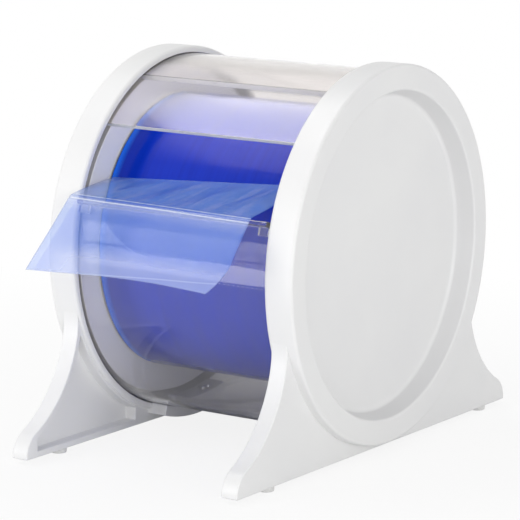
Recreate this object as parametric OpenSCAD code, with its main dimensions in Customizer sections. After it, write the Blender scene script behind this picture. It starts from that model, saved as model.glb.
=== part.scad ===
// Barrier film dispenser: two side frames carry a clear drum, and a roll of film turns inside it.
// X runs along the drum axis, the front faces -Y, Z is up, and the origin is on the table under the drum.
// Angles round the drum are degrees above the front horizontal.

/* [Film roll] */
// Width of the film and its core
film_w = 101.6; // [60:0.1:160]
// Diameter of the wound film
roll_d = 126.4; // [90:0.1:140]
// Inside diameter of the card core
core_id = 76.2; // [40:0.1:80]
// Thickness of the card core
core_wall = 1.6; // [1:0.1:4]
// Gap between each end of the roll and the side frame
roll_end_gap = 0.7; // [0.4:0.1:3]

/* [Side frames] */
// Outer diameter of the ring
ring_d = 169; // [164:1:200]
// Depth of the ring along the drum axis
ring_depth = 14; // [12:0.5:24]
// Wall of the rim round the drum ends
rim_wall = 3; // [1.5:0.1:4]
// Wall behind the channel that holds the drum ends
ring_face_wall = 2.5; // [1.5:0.1:4]
// Wall of the dished disc
disc_wall = 2.5; // [1.5:0.1:3]
// Depth of the dish in the outer face
dish_depth = 9.3; // [4:0.1:14]
// Wall between the drum's channel and the mouth of the dish
dish_wall = 3.2; // [2:0.1:6]
// Draft of the dish wall, from its mouth to its floor
dish_draft = 1.7; // [0:0.1:3]
// Fillet round the floor of the dish
dish_fillet = 2.5; // [1:0.1:4]
// Rounding of the ring's edges
edge_r = 1.4; // [0.4:0.1:2]

/* [Feet] */
// Distance from the bottom of the ring down to the straight base edge
base_below = 2.1; // [2:0.1:20]
// How far each toe reaches past the ring
toe_out = 31.5; // [28:0.5:60]
// Rounding of the toe
toe_r = 11.3; // [6:0.1:14]
// Rounding of the toe's lower corner
toe_corner_r = 0.8; // [0.6:0.1:3]
// Angle below the front horizontal where the foot's sweep runs into the ring
waist_deg = 11; // [5:0.5:20]
// How deep the sweep runs into the ring there
waist_sink = 3; // [0.1:0.1:4]
// Thickness of the foot
foot_t = 8; // [6:0.1:12]
// Step from the ring's outer face back to the foot
foot_step = 4.8; // [1:0.1:6]
// Wall of the hollow foot
foot_wall = 2.8; // [2:0.1:4]
// Wall between each foot pocket and the ring
pocket_ring_wall = 1.2; // [0.6:0.1:3]
// Distance from the middle to the inner end of each foot pocket
pocket_start = 35.6; // [20:0.1:60]
// Distance from the tip of the toe back to the outer end of each pocket
pocket_toe_in = 8; // [5:0.1:20]

/* [Saddles] */
// How far each saddle reaches inwards past the rim
saddle_w = 8.3; // [6:0.1:16]
// Half of the angle that a saddle spans under the drum
saddle_half_deg = 17; // [10:0.5:30]
// Height of the saddle's underside above the base edge
saddle_lift = 0.3; // [0.1:0.1:2]

/* [Pads] */
// Height of the pads under the base edge
pad_h = 2.2; // [1:0.1:6]
// Diameter of a pad
pad_d = 7.2; // [5:0.1:8]
// Diameter of the stem that holds a pad in the foot
pad_stem_d = 3.6; // [2:0.1:4]
// Length of the stem
pad_stem_len = 2.4; // [1:0.1:2.6]
// Distance of the front pads from the tip of the toe
pad_front_in = 28; // [12:0.5:40]
// Distance of the rear pads from the tip of the toe
pad_rear_in = 19; // [12:0.5:40]

/* [Drum] */
// Wall of the clear shell
shell_wall = 2.4; // [1.5:0.1:3]
// Lower edge of the shell's window
window_low_deg = 15; // [5:0.5:20]
// Upper edge of the shell's window
window_high_deg = 67.5; // [60:0.5:80]
// Angle between the visor's upper stop and the step where the shell runs out to the rim
step_clear_deg = 1; // [0.5:0.1:3]
// Angle that the wall of that step spans
step_wall_deg = 1.8; // [1.2:0.1:3]
// Wall of the clear visor
visor_wall = 2.2; // [1.5:0.1:3]
// Front edge of the visor as photographed
visor_edge_deg = 42.6; // [38:0.1:50]
// Front edge of the visor when it is shut
visor_shut_deg = 26; // [25:0.5:35]
// Angle that the visor spans
visor_span_deg = 52.4; // [50:0.1:70]
// Angle that each stop of the visor spans
stop_deg = 4; // [2:0.5:6]
// How far the stops stand out of the bottom of the channel
stop_len = 2.5; // [1:0.1:6]
// Thickness of the lip strip
lip_t = 2.4; // [1.5:0.1:3]
// How far the lip stands out from the shell
lip_out = 5; // [4:0.1:10]
// Length of the stub under each end of the lip
lip_stub_len = 5; // [3:0.1:10]
// Height of the stub
lip_stub_h = 3.6; // [2:0.1:6]

/* [Axle and hubs] */
// Diameter of the fixed axle
axle_d = 10; // [6:0.5:16]
// Wall of the sockets, hub bosses and washers round the axle
boss_wall = 4; // [2.5:0.1:6]
// Length of each socket inside the frame
socket_len = 9; // [6:0.5:14]
// Thickness of a thrust washer
washer_t = 1.2; // [0.8:0.1:3]
// Wall of a core hub
hub_wall = 2.5; // [1.5:0.1:4]
// Length of the hub's bearing on the axle
hub_bearing = 10; // [6:0.5:14]

/* [Screws] */
// Diameter of a screw's shank
screw_d = 2.8; // [2:0.1:4]
// Diameter of a screw's head
screw_head_d = 5.2; // [4:0.1:7]
// Height of a screw's head
screw_head_h = 1.6; // [1:0.1:3]
// Length of a screw's shank
screw_len = 5.5; // [5:0.1:6]
// Angle between each screw and the bottom of the drum
screw_deg = 9; // [4:0.5:12]

/* [Film sheet] */
// Thickness of the free sheet
sheet_t = 0.7; // [0.5:0.1:1.2]
// Angle where the left edge leaves the roll
peel_left_deg = 28.5; // [26:0.5:32]
// Angle where the right edge leaves the roll
peel_right_deg = 34; // [30:0.5:36]
// How far ahead of the lip the sheet folds down
fold_out = 5.4; // [3:0.1:8]
// Rise of the fold's left end over the lip
fold_rise = 1.6; // [1:0.1:4]
// Forward reach of the hanging flap past the fold
flap_reach = 26.2; // [15:0.1:27]
// Drop of the hanging flap below the fold
flap_drop = 27.6; // [15:0.1:40]
// Softness of the fold
fold_soft = 5; // [3:0.1:8]
// Depth of the wrinkles between the roll and the lip
wrinkle = 0.5; // [0:0.1:0.8]
// How far the wrinkles draw in the right edge
draw_in = 5; // [1:0.1:10]
// Width that is torn off the right corner of the flap
torn_w = 4; // [1:0.1:10]

/* [Clearances] */
// Visor to rim
visor_gap = 0.3; // [0.2:0.05:0.5]
// Visor to shell
shell_gap = 0.4; // [0.3:0.05:0.6]
// Shell to the inner wall of the channel
seat_gap = 0.2; // [0.1:0.05:0.4]
// Ends of the shell and visor to the bottom of the channel
end_gap = 0.3; // [0.2:0.05:0.6]
// Ends of the lip strip to the rims
lip_end_gap = 0.3; // [0.2:0.05:0.6]
// Pieces that plug into one another
plug_gap = 0.1; // [0.05:0.05:0.2]
// Turning hub to axle
run_gap = 0.05; // [0.02:0.01:0.1]
// Faces that turn past one another
face_gap = 0.3; // [0.2:0.05:0.5]
// Visor to its stops, in degrees
stop_gap_deg = 0.4; // [0.2:0.1:1]
// Sheet to roll and to lip
sheet_gap = 0.4; // [0.3:0.05:0.6]

/* [Hidden] */
$fn = 96;

// Pieces that are one solid are drawn into one another by this much
bite = 0.5;
edge_steps = 8;
sweep_steps = 24;
ring_r = ring_d / 2;
base_drop = ring_r + base_below;
foot_reach = ring_r + toe_out;
axis_z = pad_h + base_drop;

// Radii, from the rim inwards
channel_out_r = ring_r - rim_wall;
visor_out_r = channel_out_r - visor_gap;
visor_in_r = visor_out_r - visor_wall;
tube_in_r = visor_out_r - shell_wall;
shell_out_r = visor_in_r - shell_gap;
shell_in_r = shell_out_r - shell_wall;
channel_in_r = shell_in_r - seat_gap;
dish_mouth_r = channel_in_r - dish_wall;
dish_floor_r = dish_mouth_r - dish_draft;

// Places along the axis, measured from the middle outwards
disc_in_x = film_w / 2 + roll_end_gap;
disc_out_x = disc_in_x + disc_wall;
face_x = disc_out_x + dish_depth;
rim_x = face_x - ring_depth;
channel_floor_x = face_x - ring_face_wall;
drum_end_x = channel_floor_x - end_gap;
foot_out_x = face_x - foot_step;
foot_in_x = foot_out_x - foot_t;
saddle_x = rim_x - saddle_w;

// Places of the pads, ahead of the drum axis and behind it
pad_front_y = foot_reach - pad_front_in;
pad_rear_y = foot_reach - pad_rear_in;

// Sweep of the foot: it runs into the ring at the waist and touches the toe
waist = [cos(waist_deg), -sin(waist_deg)];
toe = [foot_reach - toe_r, toe_corner_r - base_drop];
toe_corner = [foot_reach - toe_corner_r, toe_corner_r - base_drop];
toe_on_waist = waist * toe;
waist_r = ring_r - waist_sink;
sweep_touch = toe * toe + waist_r ^ 2 - toe_r ^ 2 - 2 * waist_r * toe_on_waist;
sweep_r = sweep_touch / (2 * (toe_on_waist + toe_r - waist_r));
sweep = (waist_r + sweep_r) * waist;
toe_meet_deg = atan2(toe[1] - sweep[1], toe[0] - sweep[0]);

// Roll, hubs and axle
roll_r = roll_d / 2;
core_in_r = core_id / 2;
core_out_r = core_in_r + core_wall;
axle_r = axle_d / 2;
boss_r = axle_r + boss_wall;
socket_x = disc_in_x - socket_len;
axle_end_x = disc_in_x - face_gap;
washer_x = socket_x - face_gap;
hub_web_x = washer_x - washer_t - face_gap;

// Free sheet, in the side view from the drum axis
lip_outward = [-cos(window_low_deg), sin(window_low_deg)];
lip_upward = [sin(window_low_deg), cos(window_low_deg)];
lip_top = (visor_out_r + lip_out) * lip_outward + lip_t * lip_upward;
sheet_clear = sheet_gap + sheet_t / 2;
sheet_r = roll_r + 2 * sheet_gap + sheet_t / 2;
sheet_left_x = rim_x - lip_end_gap - sheet_gap;
fold_left = lip_top + [-fold_out, fold_rise + sheet_clear];
fold_right = lip_top + [-fold_out, sheet_clear];
flat_steps = 8;
fold_steps = 6;
flap_steps = 8;
sheet_rows = flat_steps + fold_steps + flap_steps;
sheet_cols = 18;
wrinkle_waves = 4.5;

function mix(a, b, t) = a + (b - a) * t;

function round_corner(c, r, from, to, steps) = [
    for (i = [0 : steps])
        let (deg = mix(from, to, i / steps))
        c + r * [cos(deg), sin(deg)]
];

// Draws a side view in Y and Z from the drum axis, between two places along it
module side_plate(x0, x1) {
    translate([x0, 0, axis_z])
        rotate([90, 0, 90])
            linear_extrude(x1 - x0)
                children();
}

// Turns a profile of radius and place along the axis round the drum, between two angles
module turned(from_deg = 0, to_deg = 360) {
    translate([0, 0, axis_z])
        rotate([0, 90, 0])
            rotate([0, 0, 270 - to_deg])
                rotate_extrude(angle = to_deg - from_deg)
                    children();
}

// Sector of a tube round the drum axis
module band(r_in, r_out, x0, x1, from_deg = 0, to_deg = 360) {
    turned(from_deg, to_deg)
        translate([r_in, x0])
            square([r_out - r_in, x1 - x0]);
}

// Round bar on the drum axis
module rod(r, x0, x1) {
    translate([x0, 0, axis_z])
        rotate([0, 90, 0])
            cylinder(r = r, h = x1 - x0);
}

// Outline of the rear foot, from the middle to the toe and up the sweep to the ring
module foot_outline() {
    polygon(concat(
        [[0, -base_drop]],
        round_corner(toe_corner, toe_corner_r, -90, 0, edge_steps),
        round_corner(toe, toe_r, 0, toe_meet_deg + 180, edge_steps),
        round_corner(sweep, sweep_r, toe_meet_deg, -180 - waist_deg, sweep_steps),
        [[0, 0]]
    ));
}

module ring_profile() {
    lean = atan2(dish_draft, dish_depth);
    floor_x = disc_out_x + dish_fillet;
    polygon(concat(
        [[0, disc_in_x], [channel_in_r, disc_in_x]],
        [[channel_in_r, channel_floor_x], [channel_out_r, channel_floor_x], [channel_out_r, rim_x]],
        round_corner([ring_r - edge_r, rim_x + edge_r], edge_r, -90, 0, edge_steps),
        round_corner([ring_r - edge_r, face_x - edge_r], edge_r, 0, 90, edge_steps),
        round_corner([dish_mouth_r + edge_r, face_x - edge_r], edge_r, 90, 180 - lean, edge_steps),
        round_corner([dish_floor_r - dish_fillet, floor_x], dish_fillet, -lean, -90, edge_steps),
        [[0, disc_out_x]]
    ));
}

// Land in the channel that stops the visor
module visor_stop(from_deg) {
    x0 = channel_floor_x - stop_len;
    x1 = channel_floor_x + bite;
    band(visor_in_r, channel_out_r + bite, x0, x1, from_deg, from_deg + stop_deg);
}

module saddle() {
    from_deg = -90 - saddle_half_deg;
    to_deg = -90 + saddle_half_deg;
    under_r = base_drop - saddle_lift;
    band(visor_out_r + plug_gap, under_r, saddle_x, foot_in_x + bite, from_deg, to_deg);
}

module foot_pocket() {
    side_plate(foot_in_x - bite, foot_out_x - foot_wall)
        difference() {
            translate([pocket_start, foot_wall - base_drop])
                square([foot_reach - pocket_toe_in - pocket_start, base_drop - foot_wall + sweep[1]]);
            circle(r = ring_r + pocket_ring_wall);
            translate(sweep)
                circle(r = sweep_r + foot_wall);
        }
}

module pad_place(y) {
    translate([(foot_in_x + foot_out_x) / 2, y, 0])
        children();
}

// The right frame, as seen from the middle outwards
module side_frame() {
    difference() {
        union() {
            turned()
                ring_profile();
            side_plate(foot_in_x, foot_out_x)
                difference() {
                    union() {
                        foot_outline();
                        mirror([1, 0])
                            foot_outline();
                    }
                    circle(r = ring_r - rim_wall / 2);
                }
            saddle();
            rod(boss_r, socket_x, disc_in_x + bite);
            visor_stop(visor_shut_deg - stop_gap_deg - stop_deg);
            visor_stop(window_high_deg + visor_span_deg + stop_gap_deg);
        }
        rod(axle_r + run_gap, socket_x - bite, disc_in_x);
        foot_pocket();
        mirror([0, 1, 0])
            foot_pocket();
        for (y = [-pad_front_y, pad_rear_y])
            pad_place(y)
                translate([0, 0, pad_h - bite])
                    cylinder(d = pad_stem_d + 2 * plug_gap, h = pad_stem_len + plug_gap + bite);
    }
}

// Places a screw that points out of the drum through the left saddle
module screw_place() {
    for (turn = [-screw_deg, screw_deg])
        translate([-(saddle_x + rim_x) / 2, 0, axis_z])
            rotate([turn, 0, 0])
                mirror([0, 0, 1])
                    children();
}

module left_side_frame() {
    color("white")
        difference() {
            mirror([1, 0, 0])
                side_frame();
            screw_place()
                translate([0, 0, visor_out_r - bite])
                    cylinder(d = screw_d + 2 * run_gap, h = screw_len - shell_wall + 2 * bite);
        }
}

module right_side_frame() {
    color("white")
        side_frame();
}

// The shell lies against the rim, and steps in under the visor's travel
module drum_shell() {
    cut_x = drum_end_x + bite;
    high_deg = window_high_deg - 360;
    step_deg = high_deg + visor_span_deg + stop_gap_deg + stop_deg + step_clear_deg;
    full_deg = step_deg + step_wall_deg;
    color([0.75, 0.74, 0.74, 0.35])
        difference() {
            band(shell_in_r, visor_out_r, -drum_end_x, drum_end_x, high_deg, window_low_deg);
            band(shell_out_r, visor_out_r + bite, -cut_x, cut_x, high_deg - stop_deg, step_deg);
            band(shell_in_r - bite, tube_in_r, -cut_x, cut_x, full_deg, window_low_deg + stop_deg);
            screw_place()
                translate([0, 0, tube_in_r - bite])
                    cylinder(d = screw_d + 2 * plug_gap, h = shell_wall + 2 * bite);
        }
}

module visor() {
    back_deg = visor_edge_deg + visor_span_deg;
    color([0.78, 0.77, 0.77, 0.35])
        band(visor_in_r, visor_out_r, -drum_end_x, drum_end_x, visor_edge_deg, back_deg);
}

// The strip lies on the edge of the shell, and its nose is round
module lip_strip() {
    half = rim_x - lip_end_gap;
    nose_r = lip_t / 2;
    color([0.85, 0.86, 0.88, 0.4]) {
        side_plate(-half, half)
            rotate([0, 0, -window_low_deg]) {
                translate([-visor_out_r - lip_out + nose_r, 0])
                    square([shell_wall + lip_out - nose_r, lip_t]);
                translate([-visor_out_r - lip_out + nose_r, nose_r])
                    circle(r = nose_r);
            }
        for (x0 = [-half, half - lip_stub_len])
            side_plate(x0, x0 + lip_stub_len)
                rotate([0, 0, -window_low_deg])
                    translate([-visor_out_r - lip_out + lip_t, -lip_stub_h])
                        square([lip_out - lip_t - seat_gap, lip_stub_h + bite]);
    }
}

module film_roll() {
    color("mediumblue")
        band(core_out_r + run_gap, roll_r, -film_w / 2, film_w / 2);
}

module roll_core() {
    color("tan")
        band(core_in_r, core_out_r, -film_w / 2, film_w / 2);
}

// Cup that plugs the core, with a bearing on the axle
module core_hub() {
    plug_r = core_in_r - plug_gap;
    difference() {
        union() {
            rod(plug_r, hub_web_x - hub_wall, film_w / 2);
            rod(boss_r, hub_web_x - hub_wall - hub_bearing, hub_web_x);
        }
        rod(plug_r - hub_wall, hub_web_x, film_w / 2 + bite);
        rod(axle_r + run_gap, hub_web_x - hub_wall - hub_bearing - bite, hub_web_x + bite);
    }
}

module left_core_hub() {
    color("gainsboro")
        mirror([1, 0, 0])
            core_hub();
}

module right_core_hub() {
    color("gainsboro")
        core_hub();
}

module axle_rod() {
    color("silver")
        rod(axle_r, -axle_end_x, axle_end_x);
}

module washer() {
    difference() {
        rod(boss_r, washer_x - washer_t, washer_x);
        rod(axle_r + run_gap, washer_x - washer_t - bite, washer_x + bite);
    }
}

module left_washer() {
    color("dimgray")
        mirror([1, 0, 0])
            washer();
}

module right_washer() {
    color("dimgray")
        washer();
}

module shell_screws() {
    head_sink = tube_in_r - sqrt(tube_in_r ^ 2 - (screw_head_d / 2) ^ 2);
    color("silver")
        screw_place()
            translate([0, 0, tube_in_r - head_sink]) {
                cylinder(d = screw_d, h = screw_len);
                translate([0, 0, -screw_head_h])
                    cylinder(d = screw_head_d, h = screw_head_h);
            }
}

// Side view of one column of the sheet: from the roll to the fold, round it and down the flap
function sheet_path(peel, fold, tip) =
    let (
        to_fold = (fold - peel) / norm(fold - peel),
        to_tip = (tip - fold) / norm(tip - fold),
        a = fold - fold_soft * to_fold,
        b = fold + fold_soft * to_tip
    )
    concat(
        [for (i = [0 : flat_steps - 1]) mix(peel, a, i / flat_steps)],
        [for (i = [0 : fold_steps - 1])
            let (w = i / fold_steps) mix(mix(a, fold, w), mix(fold, b, w), w)],
        [for (i = [0 : flap_steps]) mix(b, tip, i / flap_steps)]
    );

function sheet_column(t) =
    let (
        peel_deg = mix(peel_left_deg, peel_right_deg, t),
        peel = sheet_r * [-cos(peel_deg), sin(peel_deg)],
        fold = mix(fold_left, fold_right, t)
    )
    sheet_path(peel, fold, fold + [-flap_reach, -flap_drop]);

// Right edge of the sheet, drawn in by the wrinkles and torn at the corner of the flap
function sheet_right_x(row) =
    let (
        flat = min(row / flat_steps, 1),
        torn = max(0, (row - sheet_rows + 2) / 2)
    )
    sheet_left_x - draw_in * flat - torn_w * torn ^ 2;

function sheet_ripple(t, row) =
    row >= flat_steps ? 0 : wrinkle * sin(360 * wrinkle_waves * t) * sin(180 * row / flat_steps);

// Points of one face of the sheet, half a thickness from its middle
function sheet_face(side) = [
    for (c = [0 : sheet_cols])
        let (t = c / sheet_cols, path = sheet_column(t))
        for (row = [0 : sheet_rows])
            let (
                along = path[min(row + 1, sheet_rows)] - path[max(row - 1, 0)],
                across = [-along[1], along[0]] / norm(along),
                p = path[row] - across * (side * sheet_t / 2 + sheet_ripple(t, row))
            )
            [mix(-sheet_left_x, sheet_right_x(row), t), p[0], p[1]]
];

function strip_faces(a, b, near, far) = [[a + near, a + far, b + far], [a + near, b + far, b + near]];

module film_sheet() {
    rows = sheet_rows + 1;
    count = rows * (sheet_cols + 1);
    top_faces = [for (c = [0 : sheet_cols - 1]) for (r = [0 : sheet_rows - 1])
        each strip_faces(c * rows + r, (c + 1) * rows + r, 0, 1)];
    bottom_faces = [for (f = top_faces) [f[2], f[1], f[0]] + [count, count, count]];
    end_faces = [for (c = [0 : sheet_cols - 1]) each concat(
        strip_faces(c * rows, (c + 1) * rows, count, 0),
        strip_faces(c * rows + sheet_rows, (c + 1) * rows + sheet_rows, 0, count)
    )];
    side_faces = [for (r = [0 : sheet_rows - 1]) each concat(
        strip_faces(r, r + 1, 0, count),
        strip_faces(sheet_cols * rows + r, sheet_cols * rows + r + 1, count, 0)
    )];
    color([0.55, 0.62, 0.95, 0.6])
        translate([0, 0, axis_z])
            polyhedron(
                points = concat(sheet_face(1), sheet_face(-1)),
                faces = concat(top_faces, bottom_faces, end_faces, side_faces)
            );
}

module pad() {
    cylinder(d = pad_d, h = pad_h);
    cylinder(d = pad_stem_d, h = pad_h + pad_stem_len);
}

module pad_front_right() {
    color("whitesmoke")
        pad_place(-pad_front_y)
            pad();
}

module pad_rear_right() {
    color("whitesmoke")
        pad_place(pad_rear_y)
            pad();
}

module pad_front_left() {
    mirror([1, 0, 0])
        pad_front_right();
}

module pad_rear_left() {
    mirror([1, 0, 0])
        pad_rear_right();
}

left_side_frame();
right_side_frame();
drum_shell();
lip_strip();
visor();
film_roll();
roll_core();
left_core_hub();
right_core_hub();
axle_rod();
left_washer();
right_washer();
shell_screws();
film_sheet();
pad_front_left();
pad_front_right();
pad_rear_left();
pad_rear_right();
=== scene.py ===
"""Looks of the barrier film dispenser: white side frames, clear drum, blue roll and its free sheet."""
import math

import bmesh
import bpy
from mathutils import Matrix, Vector, noise


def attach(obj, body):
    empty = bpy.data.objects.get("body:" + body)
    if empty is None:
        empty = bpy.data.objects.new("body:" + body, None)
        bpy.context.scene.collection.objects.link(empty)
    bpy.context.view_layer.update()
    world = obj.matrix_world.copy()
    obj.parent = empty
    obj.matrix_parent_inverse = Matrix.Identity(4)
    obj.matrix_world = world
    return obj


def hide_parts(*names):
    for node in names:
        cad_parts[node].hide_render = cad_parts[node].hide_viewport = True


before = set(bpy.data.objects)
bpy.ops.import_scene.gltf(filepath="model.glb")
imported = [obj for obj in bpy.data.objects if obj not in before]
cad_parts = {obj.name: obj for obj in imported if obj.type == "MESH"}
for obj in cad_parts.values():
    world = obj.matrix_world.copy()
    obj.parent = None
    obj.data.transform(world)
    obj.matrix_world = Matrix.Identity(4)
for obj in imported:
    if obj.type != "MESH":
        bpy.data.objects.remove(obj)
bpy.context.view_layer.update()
scene = bpy.context.scene

# Sizes of the part, in metres. Angles round the drum are degrees above the front horizontal.
MM = 0.001
AXIS_Z = 88.8 * MM
RING_R = 84.5 * MM
EDGE_R = 1.4 * MM
CHANNEL_OUT_R = 81.5 * MM
VISOR_R = (79.0 * MM, 81.2 * MM)
TUBE_R = (78.8 * MM, 81.2 * MM)
STEPPED_R = (76.2 * MM, 78.6 * MM)
CHANNEL_IN_R = 76.0 * MM
DISH_MOUTH_R = 72.8 * MM
DISH_FLOOR_R = 71.1 * MM
DISH_FILLET = 2.5 * MM
DISC_IN_X = 51.5 * MM
DISC_OUT_X = 54.0 * MM
FACE_X = 63.3 * MM
RIM_X = 49.3 * MM
CHANNEL_FLOOR_X = 60.8 * MM
DRUM_END_X = 60.5 * MM
FOOT_X = (50.5 * MM, 58.5 * MM)
POCKET_X = 55.7 * MM
SADDLE_X = 41.0 * MM
LAND_X = (58.3 * MM, 61.3 * MM)
BASE_DROP = 86.6 * MM
TOE_REACH = 116.0 * MM
TOE_R = 11.3 * MM
TOE_CORNER_R = 0.8 * MM
WAIST_DEG = 11.0
WAIST_R = 81.5 * MM
FOOT_CUT_R = 83.0 * MM
WAIST_FILLET = 30.0 * MM
FOOT_WALL = 2.8 * MM
POCKET_RING_R = 85.7 * MM
POCKET_Y = (35.6 * MM, 108.0 * MM)
SADDLE_HALF_DEG = 17.0
SADDLE_R = (81.3 * MM, 86.3 * MM)
BOSS_R = 9.0 * MM
BORE_R = 5.05 * MM
SOCKET_X = 42.5 * MM
WINDOW_LOW_DEG = 15.0
WINDOW_HIGH_DEG = 67.5
VISOR_EDGE_DEG = 42.6
VISOR_SPAN_DEG = 52.4
VISOR_SHUT_DEG = 26.0
STOP_DEG = 4.0
STOP_GAP_DEG = 0.4
STEP_DEG = (125.3, 127.9)
LIP_T = 2.4 * MM
LIP_OUT = 5.0 * MM
LIP_HALF = 49.0 * MM
ROLL_R = 63.2 * MM
CORE_R = 39.75 * MM
ROLL_HALF = 50.8 * MM
PAD_X = 54.5 * MM
PAD_Y = (-88.0 * MM, 97.0 * MM)
PAD_H = 2.2 * MM
SCREW_X = -45.15 * MM
SCREW_DEG = 9.0
PANEL_EDGE_R = 0.35 * MM
STUB_LENGTH = 5.0 * MM
STUB_DROP = 3.6 * MM
ROLL_EDGE_R = 0.5 * MM
LAYER_COUNT = 26
LAYER_STEP = 0.12 * MM
DRY_STRIP_X = (-49.2 * MM, -46.4 * MM)
# Where the roll's left end is painted dark as shadow
END_SHADOW_X = (-50.6 * MM, -50.1 * MM)
SLIT_COUNT = 40
SLIT_PITCH = 2.4 * MM
SLIT_LENGTH = 1.2 * MM
SLIT_DEG = -8.0

# The free film, as it leaves the roll, lies over the lip and hangs. Pairs are its left and right edge.
SHEET_HALF = 48.6 * MM
SHEET_T = 0.12 * MM
FOLD_SOFT = 2.4 * MM
PEEL_R = 64.35 * MM
PEEL_DEG = (28.5, 34.0)
FOLDS = (Vector((-88.04 * MM, 26.98 * MM)), Vector((-88.04 * MM, 25.38 * MM)))
FLAPS = (Vector((-31.7 * MM, -29.1 * MM)), Vector((-26.2 * MM, -27.6 * MM)))
FLAT_ROWS, FOLD_ROWS, FLAP_ROWS, SHEET_COLUMNS = 40, 24, 48, 110

# The sheet's own map runs across it and down it in tenths of a metre, with the fold at one height.
FILM_PLAN = "film_plan"
PLAN_SCALE = 10
PLAN_MIDDLE = 0.5
PLAN_FOLD = 0.35

# The camera, as fitted to the picture
CAMERA_PLACE = (0.6586, -1.0310, 0.3022)
CAMERA_YAW = math.radians(32.857)
CAMERA_PITCH = math.radians(10.309)
CAMERA_ROLL = 0.018
FOCAL_PIXELS = 2749.66
PICTURE_PIXELS = 520
SENSOR_MM = 36.0


def drum_point(radius, degrees, x=0.0):
    """A point on the drum, by radius, angle above the front horizontal and place along the axis."""
    a = math.radians(degrees)
    return Vector((x, -radius * math.cos(a), AXIS_Z + radius * math.sin(a)))


def mix(a, b, t):
    return a + (b - a) * t


def corner(centre, radius, start, end, steps=6):
    """Points of a rounded corner in a flat outline."""
    return [
        (
            centre[0] + radius * math.cos(math.radians(mix(start, end, i / steps))),
            centre[1] + radius * math.sin(math.radians(mix(start, end, i / steps))),
        )
        for i in range(steps + 1)
    ]


def put(name, mesh, material=None):
    ob = bpy.data.objects.new(name, mesh)
    scene.collection.objects.link(ob)
    if material is not None and not mesh.materials:
        mesh.materials.append(material)
    return ob


def mesh_of(name, bm):
    bmesh.ops.remove_doubles(bm, verts=bm.verts, dist=1e-7)
    bmesh.ops.recalc_face_normals(bm, faces=bm.faces)
    mesh = bpy.data.meshes.new(name)
    bm.to_mesh(mesh)
    bm.free()
    return mesh


def baked(ob):
    """Turns an object with modifiers into a plain mesh."""
    bpy.context.view_layer.update()
    mesh = bpy.data.meshes.new_from_object(ob.evaluated_get(bpy.context.evaluated_depsgraph_get()))
    ob.modifiers.clear()
    ob.data = mesh
    return ob


def soft_edges(ob, width, segments=3, degrees=40.0):
    bevel = ob.modifiers.new("soft_edges", "BEVEL")
    bevel.width = width
    bevel.segments = segments
    bevel.limit_method = "ANGLE"
    bevel.angle_limit = math.radians(degrees)
    bevel.harden_normals = False
    return baked(ob)


def joined(ob, tool, operation):
    """Adds a closed shape to another one, or cuts it out, and drops the tool."""
    step = ob.modifiers.new("joined", "BOOLEAN")
    step.operation = operation
    step.solver = "EXACT"
    step.object = tool
    baked(ob)
    bpy.data.objects.remove(tool)
    return ob


def smooth(ob, degrees=32.0):
    """Smooth shading that keeps true edges crisp and flat faces flat."""
    ob.data.shade_smooth()
    ob.data.set_sharp_from_angle(angle=math.radians(degrees))
    level = ob.modifiers.new("level", "WEIGHTED_NORMAL")
    level.keep_sharp = True
    return baked(ob)


def turned(name, outline, sides=192):
    """Turns an outline of radius and place along the axis round the drum axis."""
    bm = bmesh.new()
    rings = []
    for r, x in outline:
        if r < 1e-9:
            rings.append([bm.verts.new((x, 0, AXIS_Z))] * sides)
        else:
            rings.append([bm.verts.new(drum_point(r, 360 * i / sides, x)) for i in range(sides)])
    loop = list(zip(rings, rings[1:]))
    if outline[0][0] > 1e-9:
        loop.append((rings[-1], rings[0]))
    for low, high in loop:
        for i in range(sides):
            k = (i + 1) % sides
            face = list(dict.fromkeys((low[i], low[k], high[k], high[i])))
            if len(face) > 2:
                bm.faces.new(face)
    return put(name, mesh_of(name, bm))


def turned_upright(name, outline, sides):
    """Turns an outline of radius and height, closed at both ends on the axis, round Z."""
    bm = bmesh.new()
    around = [2 * math.pi * i / sides for i in range(sides)]
    rings = []
    for r, z in outline:
        if r < 1e-9:
            rings.append([bm.verts.new((0, 0, z))] * sides)
        else:
            rings.append([bm.verts.new((r * math.cos(a), r * math.sin(a), z)) for a in around])
    for low, high in zip(rings, rings[1:]):
        for i in range(sides):
            k = (i + 1) % sides
            bm.faces.new(list(dict.fromkeys((low[i], low[k], high[k], high[i]))))
    return put(name, mesh_of(name, bm))


def plate(name, outline, x0, x1):
    """Draws a flat outline in Y and Z from the drum axis, between two places along it."""
    bm = bmesh.new()
    ends = [[bm.verts.new((x, y, AXIS_Z + z)) for y, z in outline] for x in (x0, x1)]
    bm.faces.new(ends[0])
    bm.faces.new(ends[1])
    for i in range(len(outline)):
        k = (i + 1) % len(outline)
        bm.faces.new((ends[0][i], ends[0][k], ends[1][k], ends[1][i]))
    return put(name, mesh_of(name, bm))


def sector(name, radii, x0, x1, low_deg, high_deg, steps):
    """Part of a tube round the drum axis."""
    outline = []
    for radius, angles in ((radii[0], (low_deg, high_deg)), (radii[1], (high_deg, low_deg))):
        for i in range(steps + 1):
            p = drum_point(radius, mix(angles[0], angles[1], i / steps))
            outline.append((p.y, p.z - AXIS_Z))
    return plate(name, outline, x0, x1)


# Node trees that make what repeats and what follows a rule


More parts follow.
